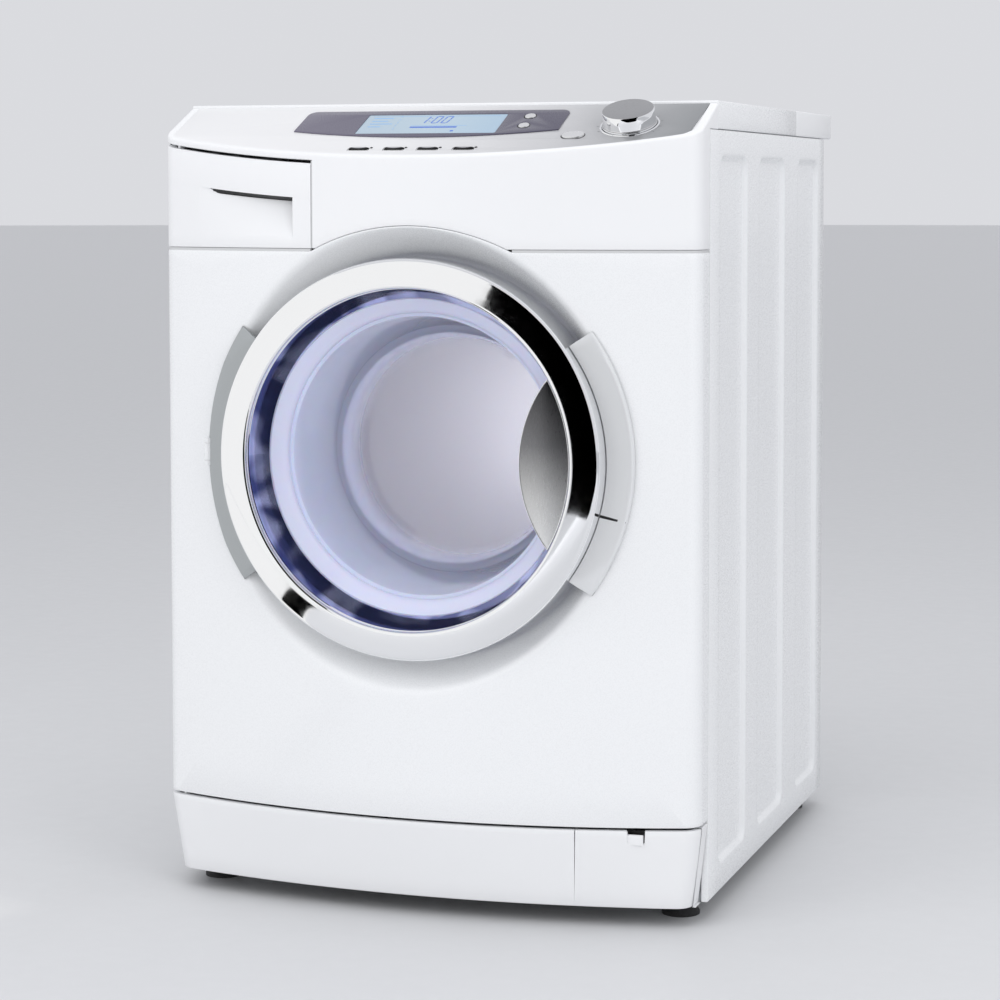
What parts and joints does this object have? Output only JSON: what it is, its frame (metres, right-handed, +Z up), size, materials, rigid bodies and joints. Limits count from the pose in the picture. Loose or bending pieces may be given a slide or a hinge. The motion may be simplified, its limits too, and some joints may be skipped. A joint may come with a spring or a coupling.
{
  "type": "front-loading laundry washer-dryer",
  "caption": "Free-standing front-loading laundry machine with a bowed white front, ring-framed glass door, detergent drawer, sloping control panel and suspended drum.",
  "frame": {"origin": "on the floor under the middle of the machine's box, at the foot pads' lower faces", "axes": "+X to the machine's right seen from the front, +Y to its back, +Z up"},
  "size_m": [0.595, 0.706, 0.851],
  "materials": {
    "white_enamel": "smooth glossy white enamel",
    "white_plastic": "glossy white moulded plastic",
    "galvanised": "plain galvanised sheet",
    "silver_overlay": "satin silver paint",
    "bezel_purple": "glossy aubergine panel",
    "lcd_blue": "pale blue display window",
    "board_green": "circuit board",
    "grey_plastic": "moulded grey plastic",
    "tub_plastic": "filled polypropylene",
    "ring_chrome": "bright chrome plating",
    "satin_silver": "satin silver plating on plastic",
    "lilac_plastic": "translucent lilac plastic",
    "seal_rubber": "soft grey-lilac rubber",
    "bowl_glass": "clear moulded glass",
    "hinge_steel": "plated steel",
    "drum_steel": "polished perforated stainless steel",
    "cast_alu": "die-cast aluminium",
    "bearing_steel": "ground bearing steel",
    "concrete": "cast concrete",
    "motor_black": "black painted motor",
    "black_rubber": "black rubber",
    "button_silver": "silver plated plastic",
    "button_dark": "dark grey plastic",
    "tray_blue": "pale plastic"
  },
  "bodies": {
    "cabinet": {"side_panel_left": "white_enamel", "side_panel_right": "white_enamel", "back_panel": "galvanised", "rear_service_cover": "galvanised", "base_tray": "grey_plastic", "top_panel": "white_plastic", "top_rear_trim": "white_plastic", "front_panel": "white_enamel", "control_fascia": "white_plastic", "control_overlay": "silver_overlay", "display_bezel": "bezel_purple", "lcd_screen": "lcd_blue", "control_board": "board_green", "dispenser_housing": "tub_plastic", "kick_plate": "white_plastic", "door_hinge_base": "white_enamel", "door_lock": "grey_plastic", "door_seal": "seal_rubber", "drain_pump": "grey_plastic", "sump_hose": "black_rubber", "inlet_valve": "white_plastic", "power_inlet": "black_rubber", "damper_bodies": "grey_plastic", "suspension_springs": "hinge_steel"},
    "door": {"door_chrome_ring": "ring_chrome", "door_side_wings": "satin_silver", "door_frame": "lilac_plastic", "door_glass": "bowl_glass", "door_grip_plate": "ring_chrome", "door_hinge_arm": "white_enamel"},
    "latch": {"door_latch_hook": "hinge_steel"},
    "drawer": {"drawer_front": "white_plastic", "detergent_tray": "tray_blue"},
    "knob": {"program_knob": "button_silver"},
    "start": {"start_button": "button_silver"},
    "reset": {"reset_button": "button_silver"},
    "delay": {"delay_button": "button_silver"},
    "option_1": {"option_button_1": "button_dark"},
    "option_2": {"option_button_2": "button_dark"},
    "option_3": {"option_button_3": "button_dark"},
    "option_4": {"option_button_4": "button_dark"},
    "flap": {"filter_flap": "white_plastic"},
    "filter": {"pump_filter": "grey_plastic"},
    "foot_fl": {"foot_front_left": "black_rubber"},
    "foot_fr": {"foot_front_right": "black_rubber"},
    "foot_rl": {"foot_rear_left": "black_rubber"},
    "foot_rr": {"foot_rear_right": "black_rubber"},
    "tub": {"tub_front": "tub_plastic", "tub_rear": "tub_plastic", "counterweight": "concrete", "drum_bearings": "bearing_steel", "drying_unit": "galvanised", "drive_belt": "black_rubber", "drum_motor": "motor_black", "damper_rods": "hinge_steel"},
    "drum": {"drum_shell": "drum_steel", "drum_lifters": "white_plastic", "drum_spider": "cast_alu", "drum_pulley": "cast_alu"},
    "rotor": {"motor_pulley": "hinge_steel"}
  },
  "joints": [
    {"name": "door_hinge", "type": "hinge", "parent": "cabinet", "child": "door", "pos_m": [-0.236, -0.316, 0.48], "axis": [0, 0, -1], "range_deg": [0, 120]},
    {"name": "latch_pivot", "type": "hinge", "parent": "door", "child": "latch", "pos_m": [0.1875, -0.303, 0.48], "axis": [0, 0, 1], "range_deg": [0, 6], "stiffness_Nm_per_rad": 2},
    {"name": "drawer_slide", "type": "slide", "parent": "cabinet", "child": "drawer", "axis": [0, -1, 0], "range_m": [0, 0.18]},
    {"name": "knob_turn", "type": "hinge", "parent": "cabinet", "child": "knob", "pos_m": [0.217, -0.27043, 0.82393], "axis": [0, -0.4147, 0.91], "continuous": true},
    {"name": "flap_hinge", "type": "hinge", "parent": "cabinet", "child": "flap", "pos_m": [0.23, -0.29, 0.024], "axis": [1, 0, 0], "range_deg": [0, 65]},
    {"name": "filter_turn", "type": "hinge", "parent": "cabinet", "child": "filter", "pos_m": [0.23, -0.26, 0.062], "axis": [0, -1, 0], "range_deg": [0, 90]},
    {"name": "tub_float", "type": "slide", "parent": "cabinet", "child": "tub", "axis": [0, 0, 1], "range_m": [-0.01, 0.01], "stiffness_N_per_m": 16000, "springref_m": 0.03, "deforming": ["suspension_springs", "sump_hose", "door_seal"]},
    {"name": "drum_spin", "type": "hinge", "parent": "tub", "child": "drum", "pos_m": [0, 0.1, 0.48], "axis": [0, 1, 0], "continuous": true},
    {"name": "rotor_spin", "type": "hinge", "parent": "tub", "child": "rotor", "pos_m": [0, 0.158, 0.15], "axis": [0, 1, 0], "continuous": true},
    {"name": "start_press", "type": "slide", "parent": "cabinet", "child": "start", "axis": [0, 0.4147, -0.91], "range_m": [0, 0.0014], "stiffness_N_per_m": 600},
    {"name": "reset_press", "type": "slide", "parent": "cabinet", "child": "reset", "axis": [0, 0.4147, -0.91], "range_m": [0, 0.0012], "stiffness_N_per_m": 600},
    {"name": "delay_press", "type": "slide", "parent": "cabinet", "child": "delay", "axis": [0, 0.4147, -0.91], "range_m": [0, 0.0012], "stiffness_N_per_m": 600},
    {"name": "option_1_press", "type": "slide", "parent": "cabinet", "child": "option_1", "axis": [0, 0.4147, -0.91], "range_m": [0, 0.001], "stiffness_N_per_m": 600},
    {"name": "option_2_press", "type": "slide", "parent": "cabinet", "child": "option_2", "axis": [0, 0.4147, -0.91], "range_m": [0, 0.001], "stiffness_N_per_m": 600},
    {"name": "option_3_press", "type": "slide", "parent": "cabinet", "child": "option_3", "axis": [0, 0.4147, -0.91], "range_m": [0, 0.001], "stiffness_N_per_m": 600},
    {"name": "option_4_press", "type": "slide", "parent": "cabinet", "child": "option_4", "axis": [0, 0.4147, -0.91], "range_m": [0, 0.001], "stiffness_N_per_m": 600},
    {"name": "foot_fl_level", "type": "slide", "parent": "cabinet", "child": "foot_fl", "axis": [0, 0, -1], "range_m": [0, 0.012]},
    {"name": "foot_fr_level", "type": "slide", "parent": "cabinet", "child": "foot_fr", "axis": [0, 0, -1], "range_m": [0, 0.012]},
    {"name": "foot_rl_level", "type": "slide", "parent": "cabinet", "child": "foot_rl", "axis": [0, 0, -1], "range_m": [0, 0.012]},
    {"name": "foot_rr_level", "type": "slide", "parent": "cabinet", "child": "foot_rr", "axis": [0, 0, -1], "range_m": [0, 0.012]}
  ],
  "couplings": [
    {"joint": "rotor_spin", "follows": "drum_spin", "ratio": 14}
  ]
}
